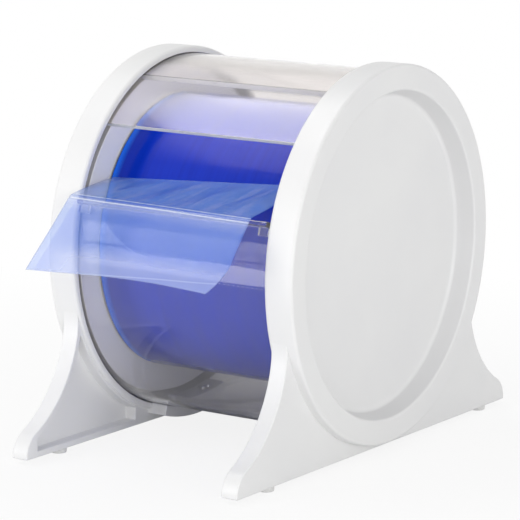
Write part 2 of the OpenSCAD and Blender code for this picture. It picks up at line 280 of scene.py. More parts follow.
class Tree:
    """A geometry node tree with named inputs."""

    def __init__(self, name):
        self.group = bpy.data.node_groups.new(name, "GeometryNodeTree")
        self.group.interface.new_socket("Geometry", in_out="OUTPUT", socket_type="NodeSocketGeometry")
        self.inputs = {}
        self.source = self.node("NodeGroupInput")
        self.sink = self.node("NodeGroupOutput")

    def size(self, name, value, kind="NodeSocketFloat"):
        item = self.group.interface.new_socket(name, in_out="INPUT", socket_type=kind)
        if value is not None:
            item.default_value = value
        self.inputs[name] = item.identifier
        return next(s for s in self.source.outputs if s.identifier == item.identifier)

    def node(self, kind, **settings):
        made = self.group.nodes.new(kind)
        for key, value in settings.items():
            setattr(made, key, value)
        return made

    def link(self, a, b):
        self.group.links.new(a, b)

    def math(self, operation, a, b):
        made = self.node("ShaderNodeMath", operation=operation)
        for socket, value in zip(made.inputs, (a, b)):
            if isinstance(value, (int, float)):
                socket.default_value = value
            else:
                self.link(value, socket)
        return made.outputs[0]

    def end(self, geometry):
        """Realizes the instances and gives the result its material."""
        finish = self.size("Finish", None, "NodeSocketMaterial")
        whole = self.node("GeometryNodeRealizeInstances")
        painted = self.node("GeometryNodeSetMaterial")
        self.link(geometry, whole.inputs[0])
        self.link(whole.outputs[0], painted.inputs["Geometry"])
        self.link(finish, painted.inputs["Material"])
        self.link(painted.outputs[0], self.sink.inputs[0])

    def grow(self, name, **values):
        """A plain mesh made by the tree with these sizes."""
        ob = put(name, bpy.data.meshes.new(name))
        step = ob.modifiers.new("grown", "NODES")
        step.node_group = self.group
        for key, value in values.items():
            step[self.inputs[key.replace("_", " ")]] = value
        return baked(ob)


def drum_panel_tree():
    """A panel that follows the drum: a wall swept round an arc, which may step in on its way."""
    t = Tree("drum_panel")
    radius = t.size("Middle radius", 77.4 * MM)
    wall = t.size("Wall", 2.4 * MM)
    length = t.size("Length", 121 * MM)
    start = t.size("Start angle", 0.0)
    sweep = t.size("Sweep angle", 1.0)
    steps = t.size("Steps", 96, "NodeSocketInt")
    round_r = t.size("Edge radius", PANEL_EDGE_R)
    step_from = t.size("Step from", 0.0)
    step_to = t.size("Step to", 1.0)
    step_depth = t.size("Step depth", 0.0)
    arc = t.node("GeometryNodeCurveArc", mode="RADIUS")
    t.link(steps, arc.inputs["Resolution"])
    t.link(radius, arc.inputs["Radius"])
    t.link(start, arc.inputs["Start Angle"])
    t.link(sweep, arc.inputs["Sweep Angle"])
    # The step moves the points in along their radius, over a share of the arc
    share = t.node("GeometryNodeSplineParameter")
    ramp = t.node("ShaderNodeMapRange", interpolation_type="SMOOTHSTEP")
    t.link(share.outputs["Factor"], ramp.inputs["Value"])
    t.link(step_from, ramp.inputs["From Min"])
    t.link(step_to, ramp.inputs["From Max"])
    t.link(step_depth, ramp.inputs["To Max"])
    spot = t.node("GeometryNodeInputPosition")
    inward = t.node("ShaderNodeVectorMath", operation="SCALE")
    t.link(spot.outputs[0], inward.inputs[0])
    t.link(t.math("DIVIDE", t.math("MULTIPLY", ramp.outputs[0], -1.0), radius), inward.inputs["Scale"])
    stepped = t.node("GeometryNodeSetPosition")
    t.link(arc.outputs["Curve"], stepped.inputs["Geometry"])
    t.link(inward.outputs[0], stepped.inputs["Offset"])
    level = t.node("GeometryNodeSetCurveNormal", mode="Z_UP")
    t.link(stepped.outputs["Geometry"], level.inputs["Curve"])
    wall_curve = t.node("GeometryNodeCurvePrimitiveQuadrilateral", mode="RECTANGLE")
    t.link(wall, wall_curve.inputs["Width"])
    t.link(length, wall_curve.inputs["Height"])
    fillet = t.node("GeometryNodeFilletCurve", mode="POLY")
    fillet.inputs["Count"].default_value = 4
    t.link(wall_curve.outputs[0], fillet.inputs["Curve"])
    t.link(round_r, fillet.inputs["Radius"])
    sweep_mesh = t.node("GeometryNodeCurveToMesh")
    sweep_mesh.inputs["Fill Caps"].default_value = True
    t.link(level.outputs["Curve"], sweep_mesh.inputs["Curve"])
    t.link(fillet.outputs[0], sweep_mesh.inputs["Profile Curve"])
    # The arc lies flat about Z: it is stood on edge, so that its axis runs along the drum
    stood = t.node("GeometryNodeTransform")
    stood.inputs["Rotation"].default_value = (math.pi / 2, 0, math.pi / 2)
    stood.inputs["Translation"].default_value = (0, 0, AXIS_Z)
    t.link(sweep_mesh.outputs["Mesh"], stood.inputs["Geometry"])
    t.end(stood.outputs[0])
    return t


def perforation_tree():
    """A row of short slits along the drum axis, on the outside of the wound film."""
    t = Tree("perforation_row")
    count = t.size("Count", SLIT_COUNT, "NodeSocketInt")
    pitch = t.size("Pitch", SLIT_PITCH)
    slit = t.size("Slit", SLIT_LENGTH)
    radius = t.size("Radius", ROLL_R)
    angle = t.size("Angle", 0.0)
    half = t.math("MULTIPLY", pitch, -0.5)
    first = t.math("MULTIPLY", half, t.math("SUBTRACT", count, 1))
    begin = t.node("ShaderNodeCombineXYZ")
    step = t.node("ShaderNodeCombineXYZ")
    t.link(first, begin.inputs["X"])
    t.link(pitch, step.inputs["X"])
    row = t.node("GeometryNodeMeshLine", mode="OFFSET")
    t.link(count, row.inputs["Count"])
    t.link(begin.outputs[0], row.inputs["Start Location"])
    t.link(step.outputs[0], row.inputs["Offset"])
    dash = t.node("GeometryNodeMeshUVSphere")
    dash.inputs["Segments"].default_value = 8
    dash.inputs["Rings"].default_value = 4
    dash.inputs["Radius"].default_value = 0.5
    shape = t.node("ShaderNodeCombineXYZ")
    t.link(slit, shape.inputs["X"])
    shape.inputs["Y"].default_value = 0.12 * MM
    shape.inputs["Z"].default_value = 0.45 * MM
    along = t.node("GeometryNodeInstanceOnPoints")
    t.link(row.outputs["Mesh"], along.inputs["Points"])
    t.link(dash.outputs["Mesh"], along.inputs["Instance"])
    t.link(shape.outputs[0], along.inputs["Scale"])
    out = t.node("ShaderNodeCombineXYZ")
    t.link(t.math("MULTIPLY", radius, -1.0), out.inputs["Y"])
    placed = t.node("GeometryNodeTransform")
    t.link(along.outputs[0], placed.inputs["Geometry"])
    t.link(out.outputs[0], placed.inputs["Translation"])
    turn = t.node("ShaderNodeCombineXYZ")
    t.link(t.math("MULTIPLY", angle, -1.0), turn.inputs["X"])
    swung = t.node("GeometryNodeTransform")
    t.link(placed.outputs[0], swung.inputs["Geometry"])
    t.link(turn.outputs[0], swung.inputs["Rotation"])
    swung.inputs["Translation"].default_value = (0, 0, AXIS_Z)
    t.end(swung.outputs[0])
    return t


def scatter_tree(name, points):
    """One shape repeated at set places, each turned by its own angle about X."""
    t = Tree(name)
    shape = t.size("Shape", None, "NodeSocketObject")
    read = t.node("GeometryNodeObjectInfo")
    read.inputs["As Instance"].default_value = True
    t.link(shape, read.inputs["Object"])
    gather = t.node("GeometryNodeJoinGeometry")
    for place, turn in points:
        put_at = t.node("GeometryNodeTransform")
        put_at.inputs["Translation"].default_value = place
        put_at.inputs["Rotation"].default_value = (turn, 0, 0)
        t.link(read.outputs["Geometry"], put_at.inputs["Geometry"])
        t.link(put_at.outputs[0], gather.inputs[0])
    t.end(gather.outputs[0])
    return t


# Finishes


class Finish:
    """A material on a Principled shader, with helpers for patterns on Object coordinates."""

    def __init__(self, name, colour, roughness, **sockets):
        self.material = bpy.data.materials.new(name)
        self.material.use_nodes = True
        self.tree = self.material.node_tree
        self.shader = self.tree.nodes["Principled BSDF"]
        self.output = self.tree.nodes["Material Output"]
        self.set("Base Color", (*colour, 1.0))
        self.set("Roughness", roughness)
        for key, value in sockets.items():
            self.set(key.replace("_", " "), value)
        self.coords = self.node("ShaderNodeTexCoord").outputs["Object"]

    def set(self, socket, value):
        self.shader.inputs[socket].default_value = value

    def node(self, kind, **settings):
        made = self.tree.nodes.new(kind)
        for key, value in settings.items():
            setattr(made, key, value)
        return made

    def link(self, a, b):
        self.tree.links.new(a, b)

    def drive(self, socket, value):
        self.link(value, self.shader.inputs[socket])

    def places(self):
        """The three coordinates, each on its own."""
        made = self.node("ShaderNodeSeparateXYZ")
        self.link(self.coords, made.inputs[0])
        return made.outputs["X"], made.outputs["Y"], made.outputs["Z"]

    def stretched(self, scale, place=(0, 0, 0)):
        made = self.node("ShaderNodeMapping")
        made.inputs["Location"].default_value = place
        made.inputs["Scale"].default_value = scale
        self.link(self.coords, made.inputs["Vector"])
        return made.outputs[0]

    def cloud(self, vector, scale, detail=3.0, roughness=0.5):
        made = self.node("ShaderNodeTexNoise")
        made.inputs["Scale"].default_value = scale
        made.inputs["Detail"].default_value = detail
        made.inputs["Roughness"].default_value = roughness
        self.link(vector, made.inputs["Vector"])
        return made.outputs["Fac"]

    def math(self, operation, a, b):
        made = self.node("ShaderNodeMath", operation=operation)
        for socket, value in zip(made.inputs, (a, b)):
            if hasattr(value, "is_output"):
                self.link(value, socket)
            else:
                socket.default_value = value
        return made.outputs[0]

    def ranged(self, value, low, high, to_low, to_high):
        made = self.node("ShaderNodeMapRange")
        for socket, number in zip(made.inputs[1:5], (low, high, to_low, to_high)):
            socket.default_value = number
        self.link(value, made.inputs["Value"])
        return made.outputs[0]

    def blended(self, factor, a, b):
        made = self.node("ShaderNodeMix", data_type="RGBA")
        self.link(factor, made.inputs["Factor"])
        for socket, value in ((made.inputs["A"], a), (made.inputs["B"], b)):
            if hasattr(value, "is_output"):
                self.link(value, socket)
            else:
                socket.default_value = (*value, 1.0)
        return made.outputs["Result"]

    def relief(self, height, strength, distance):
        made = self.node("ShaderNodeBump")
        made.inputs["Strength"].default_value = strength
        made.inputs["Distance"].default_value = distance
        self.link(height, made.inputs["Height"])
        self.drive("Normal", made.outputs[0])

    def lets_lamps_through(self, tint):
        """Clear plastic that lamps shine through, so that what it covers is lit."""
        clear = self.node("ShaderNodeBsdfTransparent")
        clear.inputs["Color"].default_value = (*tint, 1.0)
        path = self.node("ShaderNodeLightPath")
        both = self.node("ShaderNodeMixShader")
        self.link(path.outputs["Is Shadow Ray"], both.inputs[0])
        self.link(self.shader.outputs[0], both.inputs[1])
        self.link(clear.outputs[0], both.inputs[2])
        self.link(both.outputs[0], self.output.inputs["Surface"])


def white_plastic():
    """White plastic with a fine grain, and painted shade that greys the steep wall of the dishes."""
    f = Finish("white_moulded_plastic", (0.86, 0.86, 0.86), 0.36, Specular_IOR_Level=0.5)
    drift = f.cloud(f.coords, 22.0, 4.0)
    body = f.blended(f.ranged(drift, 0.3, 0.7, 0.0, 1.0), (0.845, 0.845, 0.85), (0.875, 0.875, 0.872))
    x, y, z = f.places()
    z = f.math("SUBTRACT", z, AXIS_Z)
    out = f.math("SQRT", f.math("ADD", f.math("MULTIPLY", y, y), f.math("MULTIPLY", z, z)), 0.0)
    depth = f.math("ABSOLUTE", x, 0.0)
    # Painted shade: the dish wall is darkened in colour for the shade that falls on it
    inner = f.ranged(out, DISH_FLOOR_R - 1.2 * MM, DISH_FLOOR_R - 0.2 * MM, 0.0, 1.0)
    outer = f.ranged(out, DISH_MOUTH_R, DISH_MOUTH_R + 0.4 * MM, 1.0, 0.0)
    floor = f.ranged(depth, DISC_OUT_X + 0.3 * MM, DISC_OUT_X + 1.3 * MM, 0.0, 1.0)
    wall = f.math("MULTIPLY", f.math("MULTIPLY", inner, outer), floor)
    f.drive("Base Color", f.blended(wall, body, (0.755, 0.755, 0.76)))
    fine = f.cloud(f.coords, 1700.0, 2.0)
    f.drive("Roughness", f.ranged(f.cloud(f.coords, 60.0, 4.0), 0.3, 0.7, 0.31, 0.42))
    f.relief(fine, 0.12, 0.00004)
    return f.material


def clear_plastic(name, tint, haze, shade, roughness=0.02):
    """Smoky clear plastic, a little uneven in tint and with faint ripples from moulding."""
    f = Finish(name, tint, roughness, IOR=1.49, Transmission_Weight=1.0 - haze)
    drift = f.cloud(f.stretched((9, 22, 22)), 1.0, 3.0)
    darker = tuple(0.97 * c for c in tint)
    f.drive("Base Color", f.blended(f.ranged(drift, 0.3, 0.7, 0.0, 1.0), darker, tint))
    f.relief(f.cloud(f.stretched((14, 40, 40)), 1.0, 2.0), 0.05, 0.0008)
    f.lets_lamps_through(shade)
    return f.material


def sawn_edge():
    """Edges of the clear panels, dull from the saw, which gather light from inside the plastic."""
    f = Finish("sawn_clear_edge", (0.84, 0.85, 0.86), 0.35, IOR=1.49, Transmission_Weight=0.35)
    marks = f.cloud(f.stretched((160, 2600, 2600)), 1.0, 3.0)
    f.drive("Base Color", f.blended(marks, (0.81, 0.82, 0.83), (0.87, 0.88, 0.89)))
    f.drive("Roughness", f.ranged(marks, 0.3, 0.7, 0.25, 0.5))
    f.lets_lamps_through((0.85, 0.85, 0.86))
    return f.material


def wound_film():
    """Deep blue film: faint bands round the roll, a paler strip, and a painted shadow along the left end
    where it meets the disc.
    """
    f = Finish("wound_film", (0.003, 0.03, 0.5), 0.1, Specular_IOR_Level=0.2)
    f.set("Specular Tint", (1.0, 0.86, 0.9, 1.0))
    bands = f.cloud(f.stretched((420, 6, 6)), 1.0, 3.0, 0.6)
    deep = f.blended(f.ranged(bands, 0.3, 0.7, 0.0, 1.0), (0.001, 0.024, 0.42), (0.002, 0.031, 0.5))
    x = f.places()[0]
    strip = f.ranged(x, *DRY_STRIP_X, 1.0, 0.0)
    # Painted shadow: the roll's left end is darkened next to the disc
    end_shadow = f.ranged(x, *END_SHADOW_X, 1.0, 0.0)
    body = f.blended(strip, deep, (0.01, 0.15, 0.85))
    f.drive("Base Color", f.blended(end_shadow, body, (0.003, 0.012, 0.12)))
    f.drive("Roughness", f.ranged(bands, 0.3, 0.7, 0.1, 0.16))
    f.relief(bands, 0.1, 0.0003)
    return f.material


def free_film():
    """Thin see-through film on its own map: pull streaks, creases over the lip drawn with painted
    highlights, and a lower end paled by a painted sheen.
    """
    f = Finish("free_film", (0.26, 0.42, 0.98), 0.2, Specular_IOR_Level=0.45)
    f.coords = f.node("ShaderNodeUVMap", uv_map=FILM_PLAN).outputs["UV"]
    across, down = f.places()[:2]
    lean = f.node("ShaderNodeCombineXYZ")
    slanted = f.math("ADD", f.math("MULTIPLY", across, 70.0), f.math("MULTIPLY", down, 16.0))
    f.link(slanted, lean.inputs["X"])
    f.link(f.math("MULTIPLY", down, 5.0), lean.inputs["Y"])
    streaks = f.cloud(lean.outputs[0], 1.0, 4.0, 0.6)
    slack = f.cloud(f.stretched((7, 3, 1)), 1.0, 0.0)
    flat = f.ranged(down, 0.32, 0.345, 1.0, 0.0)
    pulled = f.math("MULTIPLY", f.ranged(streaks, 0.43, 0.62, 0.0, 1.0), flat)
    body = f.blended(f.ranged(slack, 0.0, 1.0, 0.0, 1.0), (0.08, 0.23, 0.84), (0.17, 0.34, 0.94))
    body = f.blended(flat, body, (0.17, 0.42, 1.0))
    body = f.blended(pulled, body, (0.36, 0.5, 1.0))
    body = f.blended(f.ranged(across, 0.05, 0.058, 1.0, 0.0), body, (0.3, 0.46, 0.93))

    def line(value, middle, half):
        off = f.math("ABSOLUTE", f.math("SUBTRACT", value, middle), 0.0)
        return f.ranged(off, half * 0.5, half * 1.5, 1.0, 0.0)

    skew = f.math("ADD", down, f.math("MULTIPLY", across, 0.03))
    # Painted sheen: the lower end of the flap is paler, for the reflection of the lamps in front
    lower = f.ranged(skew, 0.6, 0.67, 0.0, 0.75)
    lower = f.math("MULTIPLY", lower, f.ranged(slack, 0.0, 1.0, 0.75, 1.05))
    lower = f.math("MULTIPLY", lower, f.ranged(across, 0.08, 0.2, 0.3, 1.0))
    under_lip = f.ranged(down, PLAN_FOLD, PLAN_FOLD + 0.01, 0.0, 0.6)
    under_lip = f.math("MULTIPLY", under_lip, f.ranged(down, 0.37, 0.43, 1.0, 0.0))
    # Painted highlights: two pale, denser lines where the film runs over the lip's nose
    crease = f.math("MAXIMUM", line(down, 0.337, 0.0028), line(down, 0.364, 0.0028))
    crease = f.math("MULTIPLY", crease, f.ranged(streaks, 0.35, 0.65, 0.55, 0.95))
    # A slight crease near the torn end, its pale line a painted highlight
    hem_and_highlight = line(f.math("ADD", down, f.math("MULTIPLY", across, 0.1056)), 0.772, 0.0028)
    body = f.blended(lower, body, (0.6, 0.68, 1.0))
    body = f.blended(under_lip, body, (0.62, 0.7, 1.0))
    body = f.blended(f.math("MULTIPLY", hem_and_highlight, 0.35), body, (0.85, 0.9, 1.0))
    f.drive("Base Color", f.blended(crease, body, (0.92, 0.95, 1.0)))
    thin = f.math("MULTIPLY", flat, f.ranged(pulled, 0.0, 1.0, 0.07, 0.0))
    dense = f.math("MAXIMUM", f.math("MULTIPLY", crease, 0.28), f.math("MULTIPLY", hem_and_highlight, 0.06))
    f.drive("Alpha", f.math("SUBTRACT", f.math("ADD", dense, 0.36), thin))
    f.relief(pulled, 0.15, 0.0003)
    return f.material


def slit_white():
    f = Finish("perforation_slit", (0.3, 0.36, 0.8), 0.5)
    worn = f.cloud(f.coords, 700.0)
    f.drive("Base Color", f.blended(worn, (0.26, 0.32, 0.76), (0.34, 0.4, 0.84)))
    f.relief(f.cloud(f.coords, 4000.0), 0.1, 0.00002)
    return f.material


def pale_rubber():
    f = Finish("pale_rubber", (0.78, 0.78, 0.77), 0.75, Specular_IOR_Level=0.3)
    dusty = f.cloud(f.coords, 260.0)
    f.drive("Base Color", f.blended(dusty, (0.74, 0.74, 0.73), (0.82, 0.82, 0.81)))
    f.relief(f.cloud(f.coords, 2600.0, 2.0), 0.3, 0.00005)
    return f.material


def core_card():
    """Spiral wound card, with a fibrous grain."""
    f = Finish("core_card", (0.58, 0.46, 0.32), 0.85, Specular_IOR_Level=0.2)
    fibre = f.cloud(f.stretched((500, 2500, 2500)), 1.0, 4.0)
    body = f.blended(f.ranged(fibre, 0.3, 0.7, 0.0, 1.0), (0.5, 0.38, 0.25), (0.66, 0.54, 0.39))
    f.drive("Base Color", body)
    f.relief(fibre, 0.3, 0.0001)
    return f.material


def satin_plastic(name, colour, roughness):
    f = Finish(name, colour, roughness)
    paler = tuple(min(1.0, c * 1.06) for c in colour)
    f.drive("Base Color", f.blended(f.cloud(f.coords, 70.0, 4.0), colour, paler))
    f.relief(f.cloud(f.coords, 1800.0, 2.0), 0.15, 0.00004)
    return f.material


def drawn_metal(name, colour, roughness):
    """Metal with fine lines along the drum axis."""
    f = Finish(name, colour, roughness, Metallic=1.0)
    lines = f.cloud(f.stretched((40, 4000, 4000)), 1.0, 2.0)
    darker = tuple(0.92 * c for c in colour)
    f.drive("Base Color", f.blended(lines, darker, colour))
    f.drive("Roughness", f.ranged(lines, 0.3, 0.7, roughness * 0.8, roughness * 1.3))
    f.relief(lines, 0.1, 0.00003)
    return f.material


WHITE = white_plastic()
# Painted shade: a grey finish for the channel, for the shadow that falls in it
CHANNEL_SHADE_GREY = satin_plastic("channel_painted_shade", (0.6, 0.59, 0.575), 0.5)
CLEAR_SHELL = clear_plastic("clear_shell_plastic", (0.97, 0.96, 0.962), 0.015, (0.985, 0.98, 0.98))
CLEAR_VISOR = clear_plastic("clear_visor_plastic", (0.975, 0.94, 0.915), 0.03, (0.96, 0.95, 0.95), 0.07)
CLEAR_LIP = clear_plastic("clear_lip_plastic", (0.88, 0.866, 0.86), 0.02, (0.92, 0.92, 0.92))
SAWN_EDGE = sawn_edge()
WOUND_FILM = wound_film()
FREE_FILM = free_film()
SLIT = slit_white()
RUBBER = pale_rubber()
CARD = core_card()
HUB = satin_plastic("hub_plastic", (0.76, 0.76, 0.76), 0.45)
WASHER = satin_plastic("washer_plastic", (0.17, 0.17, 0.18), 0.5)
AXLE = drawn_metal("axle_metal", (0.75, 0.75, 0.77), 0.3)
STEEL = drawn_metal("screw_steel", (0.68, 0.68, 0.7), 0.28)


# Side frames


def bearing(start, end):
    """Angle in degrees of the way from one point of a flat outline to another."""
    return math.degrees(math.atan2(end[1] - start[1], end[0] - start[0]))


def clockwise(angle, start):
    """The same angle, reached by turning clockwise from another one."""
    return angle - 360 if angle > start else angle


def crossing(ring_r, sweep, bow_r):
    """Lower point where a circle round the drum axis meets one round the middle of the foot's sweep."""
    along = (ring_r**2 - bow_r**2 + sweep.length_squared) / (2 * sweep.length)
    toward = sweep.normalized()
    off = math.sqrt(ring_r**2 - along**2)
    return along * toward + off * Vector((toward.y, -toward.x))


def foot_sweep():
    """Middle and radius of the hollow curve from the ring down to the toe."""
    waist = Vector((math.cos(math.radians(WAIST_DEG)), -math.sin(math.radians(WAIST_DEG))))
    toe = Vector((TOE_REACH - TOE_R, TOE_CORNER_R - BASE_DROP))
    along = waist.dot(toe)
    touch = toe.length_squared + WAIST_R**2 - TOE_R**2 - 2 * WAIST_R * along
    sweep_r = touch / (2 * (along + TOE_R - WAIST_R))
    return toe, (WAIST_R + sweep_r) * waist, sweep_r


def foot_outline(toe, sweep, sweep_r):
    """Outline of both feet, with the ring's place cut out of it."""
    meet = bearing(sweep, toe)
    fillet = crossing(RING_R - 0.3 * MM + WAIST_FILLET, sweep, sweep_r - WAIST_FILLET)
    leave = clockwise(bearing(sweep, fillet), meet)
    waist_deg = bearing((0, 0), fillet)
    lower = corner((TOE_REACH - TOE_CORNER_R, toe.y), TOE_CORNER_R, -90, 0, 6)
    upper = corner(toe, TOE_R, 0, meet + 180, 20)[1:]
    bow = corner(sweep, sweep_r, meet, leave, 48)[1:]
    blend = corner(fillet, WAIST_FILLET, leave, waist_deg - 180, 16)[1:]
    rear = lower + upper + bow + blend
    inner = corner((0, 0), FOOT_CUT_R, waist_deg, -180 - waist_deg, 96)
    front = [(-y, z) for y, z in reversed(rear)]
    return rear + inner + front


def pocket_outline(sweep, sweep_r):
    """Hollow of the rear foot, a wall inside its outline."""
    floor_z = FOOT_WALL - BASE_DROP
    bow_r = sweep_r + FOOT_WALL
    tip = crossing(POCKET_RING_R, sweep, bow_r)
    top_z = sweep.y - math.sqrt(bow_r**2 - (POCKET_Y[1] - sweep.x) ** 2)
    start = bearing(sweep, (POCKET_Y[1], top_z))
    end = clockwise(bearing(sweep, tip), start)
    last = -math.degrees(math.acos(POCKET_Y[0] / POCKET_RING_R))
    floor = [(POCKET_Y[0], floor_z), (POCKET_Y[1], floor_z)]
    bow = corner(sweep, bow_r, start, end, 30)
    return floor + bow + corner((0, 0), POCKET_RING_R, bearing((0, 0), tip), last, 30)[1:]


def ring_outline():
    lean = math.degrees(math.atan2(DISH_MOUTH_R - DISH_FLOOR_R, FACE_X - DISC_OUT_X))
    small = 0.4 * MM
    return (
        [(0.0, DISC_IN_X), (BORE_R, DISC_IN_X)]
        + corner((BORE_R + small, SOCKET_X + small), small, 180, 270, 3)
        + corner((BOSS_R - small, SOCKET_X + small), small, 270, 360, 3)
        + corner((BOSS_R + 0.8 * MM, DISC_IN_X - 0.8 * MM), 0.8 * MM, 180, 90, 4)
        + corner((CHANNEL_IN_R - small, DISC_IN_X + small), small, 270, 360, 3)
        + [(CHANNEL_IN_R, CHANNEL_FLOOR_X), (CHANNEL_OUT_R, CHANNEL_FLOOR_X)]
        + corner((CHANNEL_OUT_R + small, RIM_X + small), small, 180, 270, 3)
        + corner((RING_R - EDGE_R, RIM_X + EDGE_R), EDGE_R, -90, 0, 8)
        + corner((RING_R - EDGE_R, FACE_X - EDGE_R), EDGE_R, 0, 90, 8)
        + corner((DISH_MOUTH_R + EDGE_R, FACE_X - EDGE_R), EDGE_R, 90, 180 - lean, 8)
        + corner((DISH_FLOOR_R - DISH_FILLET, DISC_OUT_X + DISH_FILLET), DISH_FILLET, -lean, -90, 10)
        + [(0.0, DISC_OUT_X)]
    )


def side_frame():
    """The right frame: ring and disc, feet with their hollows, saddle and the visor's stops."""
    toe, sweep, sweep_r = foot_sweep()
    feet = plate("feet", foot_outline(toe, sweep, sweep_r), *FOOT_X)
    hollow = pocket_outline(sweep, sweep_r)
    mouth_x = FOOT_X[0] - 2 * MM
    joined(feet, plate("rear_hollow", hollow, mouth_x, POCKET_X), "DIFFERENCE")
    joined(feet, plate("front_hollow", [(-y, z) for y, z in hollow], mouth_x, POCKET_X), "DIFFERENCE")
    soft_edges(feet, 0.7 * MM, 3)
    whole = turned("side_frame", ring_outline())
    low, high = -90 - SADDLE_HALF_DEG, SADDLE_HALF_DEG - 90
    saddle = sector("saddle", SADDLE_R, SADDLE_X, FOOT_X[0] + 0.6 * MM, low, high, 32)
    joined(whole, soft_edges(saddle, 0.5 * MM, 3), "UNION")
    joined(whole, feet, "UNION")
    high = WINDOW_HIGH_DEG + VISOR_SPAN_DEG + STOP_GAP_DEG
    low = VISOR_SHUT_DEG - STOP_GAP_DEG - STOP_DEG
    for start in (low, high):
        radii = (VISOR_R[0], CHANNEL_OUT_R + 0.5 * MM)
        land = sector("land", radii, *LAND_X, start, start + STOP_DEG, 6)
        joined(whole, land, "UNION")
    return whole


def both_frames():
    right = side_frame()
    mesh = right.data.copy()
    mesh.transform(Matrix.Scale(-1, 4, (1, 0, 0)))
    bm = bmesh.new()
    bm.from_mesh(mesh)
    bmesh.ops.reverse_faces(bm, faces=bm.faces)
    bm.to_mesh(mesh)
    bm.free()
    left = put("left_frame", mesh)
    right.name = "right_frame"
    for ob, node in ((left, "left_side_frame"), (right, "right_side_frame")):
        ob.data.materials.clear()
        ob.data.materials.append(WHITE)
        ob.data.materials.append(CHANNEL_SHADE_GREY)
        smooth(ob)
        # The channel is painted grey as shade for the deep slot that the panels sit in
        for face in ob.data.polygons:
            out = math.hypot(face.center.y, face.center.z - AXIS_Z)
            along = DISC_IN_X + 0.5 * MM < abs(face.center.x) < CHANNEL_FLOOR_X + 0.1 * MM
            face.material_index = int(along and CHANNEL_IN_R - 0.1 * MM < out < CHANNEL_OUT_R + 0.05 * MM)
        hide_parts(node)
        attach(ob, "stand")


# Drum


def drum():
    """The clear shell, which steps in under the visor's travel, and the clear visor."""
    tree = drum_panel_tree()
    shell_low = WINDOW_HIGH_DEG - 360
    shell_span = WINDOW_LOW_DEG - shell_low
    step = [(WINDOW_LOW_DEG - (deg - 360)) / shell_span for deg in reversed(STEP_DEG)]
    shell = dict(
        Middle_radius=(TUBE_R[0] + TUBE_R[1]) / 2,
        Wall=TUBE_R[1] - TUBE_R[0],
        Start_angle=math.radians(180 - WINDOW_LOW_DEG),
        Sweep_angle=math.radians(shell_span),
        Steps=720,
        Step_from=step[0],
        Step_to=step[1],
        Step_depth=TUBE_R[0] - STEPPED_R[0],
        Finish=CLEAR_SHELL,
    )
    visor = dict(
        Middle_radius=(VISOR_R[0] + VISOR_R[1]) / 2,
        Wall=VISOR_R[1] - VISOR_R[0],
        Start_angle=math.radians(180 - VISOR_EDGE_DEG - VISOR_SPAN_DEG),
        Sweep_angle=math.radians(VISOR_SPAN_DEG),
        Steps=64,
        Finish=CLEAR_VISOR,
    )
    for name, sizes, node, body in (
        ("clear_shell", shell, "drum_shell", "stand"),
        ("clear_visor", visor, "visor", "visor"),
    ):
        ob = tree.grow(name, Length=2 * DRUM_END_X, Edge_radius=PANEL_EDGE_R, **sizes)
        soft_edges(ob, 0.3 * MM, 3, 50)
        smooth(ob)
        ob.data.materials.append(SAWN_EDGE)
        for face in ob.data.polygons:
            out = Vector((0, face.center.y, face.center.z - AXIS_Z)).normalized()
            round_drum = Vector((0, -out.z, out.y))
            face.material_index = int(abs(face.normal.dot(round_drum)) > 0.8)
        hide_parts(node)
        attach(ob, body)


def lip():
    """Clear strip on the lower edge of the window, with a round nose and a stub under each end."""
    turn = Matrix.Rotation(math.radians(-WINDOW_LOW_DEG), 2)
    nose = LIP_T / 2
    tip = -TUBE_R[1] - LIP_OUT + nose
    bar = [(-TUBE_R[0], 0.0), (-TUBE_R[0], LIP_T)] + corner((tip, nose), nose, 90, 270, 12)
    front, back, low, high = tip + nose, -TUBE_R[1] - 0.2 * MM, -STUB_DROP, 0.5 * MM
    stub = [(front, low), (back, low), (back, high), (front, high)]

    def tilted(points):
        return [tuple(turn @ Vector(p)) for p in points]

    whole = soft_edges(plate("clear_lip", tilted(bar), -LIP_HALF, LIP_HALF), 0.25 * MM, 2)
    inset = 0.02 * MM
    for x0 in (-LIP_HALF, LIP_HALF - STUB_LENGTH):
        end = plate("stub", tilted(stub), x0 + inset, x0 + STUB_LENGTH - inset)
        joined(whole, soft_edges(end, 0.25 * MM, 2), "UNION")
    whole.data.materials.clear()
    whole.data.materials.append(CLEAR_LIP)
    smooth(whole)
    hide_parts("lip_strip")
    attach(whole, "stand")


# Film


def film_roll():
    """Wound film: its outside waves a little, and its ends show the edges of the layers."""
    last = ROLL_R - ROLL_EDGE_R - 0.1 * MM
    layers = []
    for i in range(1, 2 * LAYER_COUNT):
        layers.append((mix(CORE_R, last, i / (2 * LAYER_COUNT)), LAYER_STEP if i % 2 else 0.0))
    straight = ROLL_HALF - ROLL_EDGE_R
    outline = [(CORE_R, -ROLL_HALF)]
    outline += [(r, -ROLL_HALF + inset) for r, inset in layers]
    outline += corner((ROLL_R - ROLL_EDGE_R, -straight), ROLL_EDGE_R, 270, 360, 4)
    steps = 60
    for i in range(1, steps):
        x = mix(-straight, straight, i / steps)
        wave = 0.5 + 0.5 * noise.noise((x * 160, 3.1, 0.7))
        outline.append((ROLL_R - 0.05 * MM * wave, x))
    outline += corner((ROLL_R - ROLL_EDGE_R, straight), ROLL_EDGE_R, 0, 90, 4)
    outline += [(r, ROLL_HALF - inset) for r, inset in reversed(layers)]
    outline.append((CORE_R, ROLL_HALF))
    ob = turned("blue_film_roll", outline, 180)
    ob.data.materials.append(WOUND_FILM)
    smooth(ob, 40)
    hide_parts("film_roll")
    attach(ob, "roll")
    slits = perforation_tree().grow(
        "perforation_slits",
        Count=SLIT_COUNT,
        Pitch=SLIT_PITCH,
        Slit=SLIT_LENGTH,
        Radius=ROLL_R,
        Angle=math.radians(SLIT_DEG),
        Finish=SLIT,
    )
    slits.data.shade_smooth()
    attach(slits, "roll")


